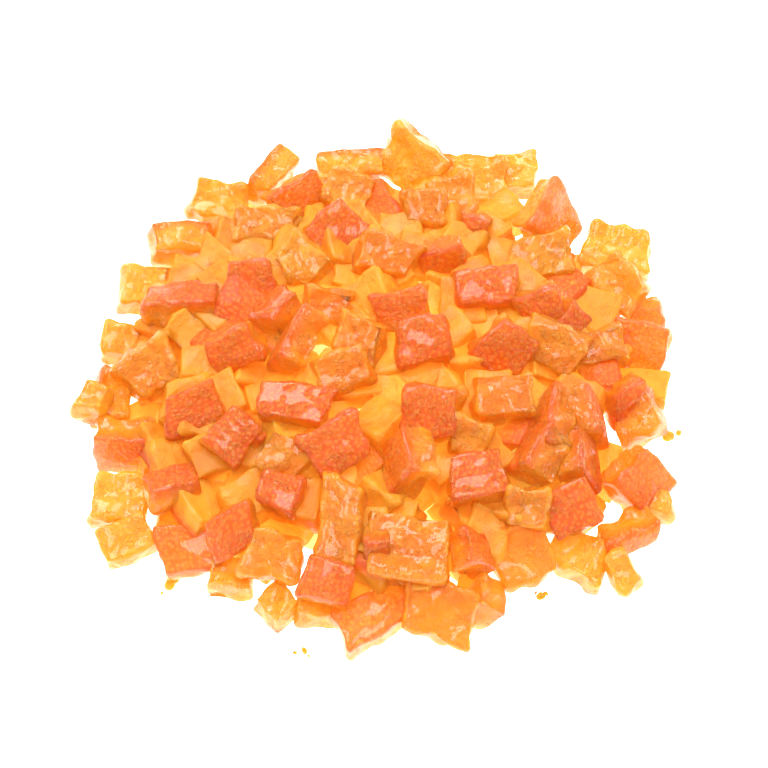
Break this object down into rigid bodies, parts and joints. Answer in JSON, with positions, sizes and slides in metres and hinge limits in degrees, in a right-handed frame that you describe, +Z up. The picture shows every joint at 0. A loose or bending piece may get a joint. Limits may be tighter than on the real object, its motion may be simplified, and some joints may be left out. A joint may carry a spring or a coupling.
{
  "type": "candied orange peel",
  "caption": "Loose low heap of diced candied orange peel, rind and pith faces up, lying on its flat underside.",
  "frame": {"origin": "on the surface the heap lies on, under its middle", "axes": "+Z up, -Y towards the front of the heap, +X to its right"},
  "size_m": [0.103, 0.1076, 0.0195],
  "materials": {
    "candied_peel": "sticky gloss"
  },
  "bodies": {
    "root": {"peel_heap": "candied_peel"}
  },
  "joints": []
}
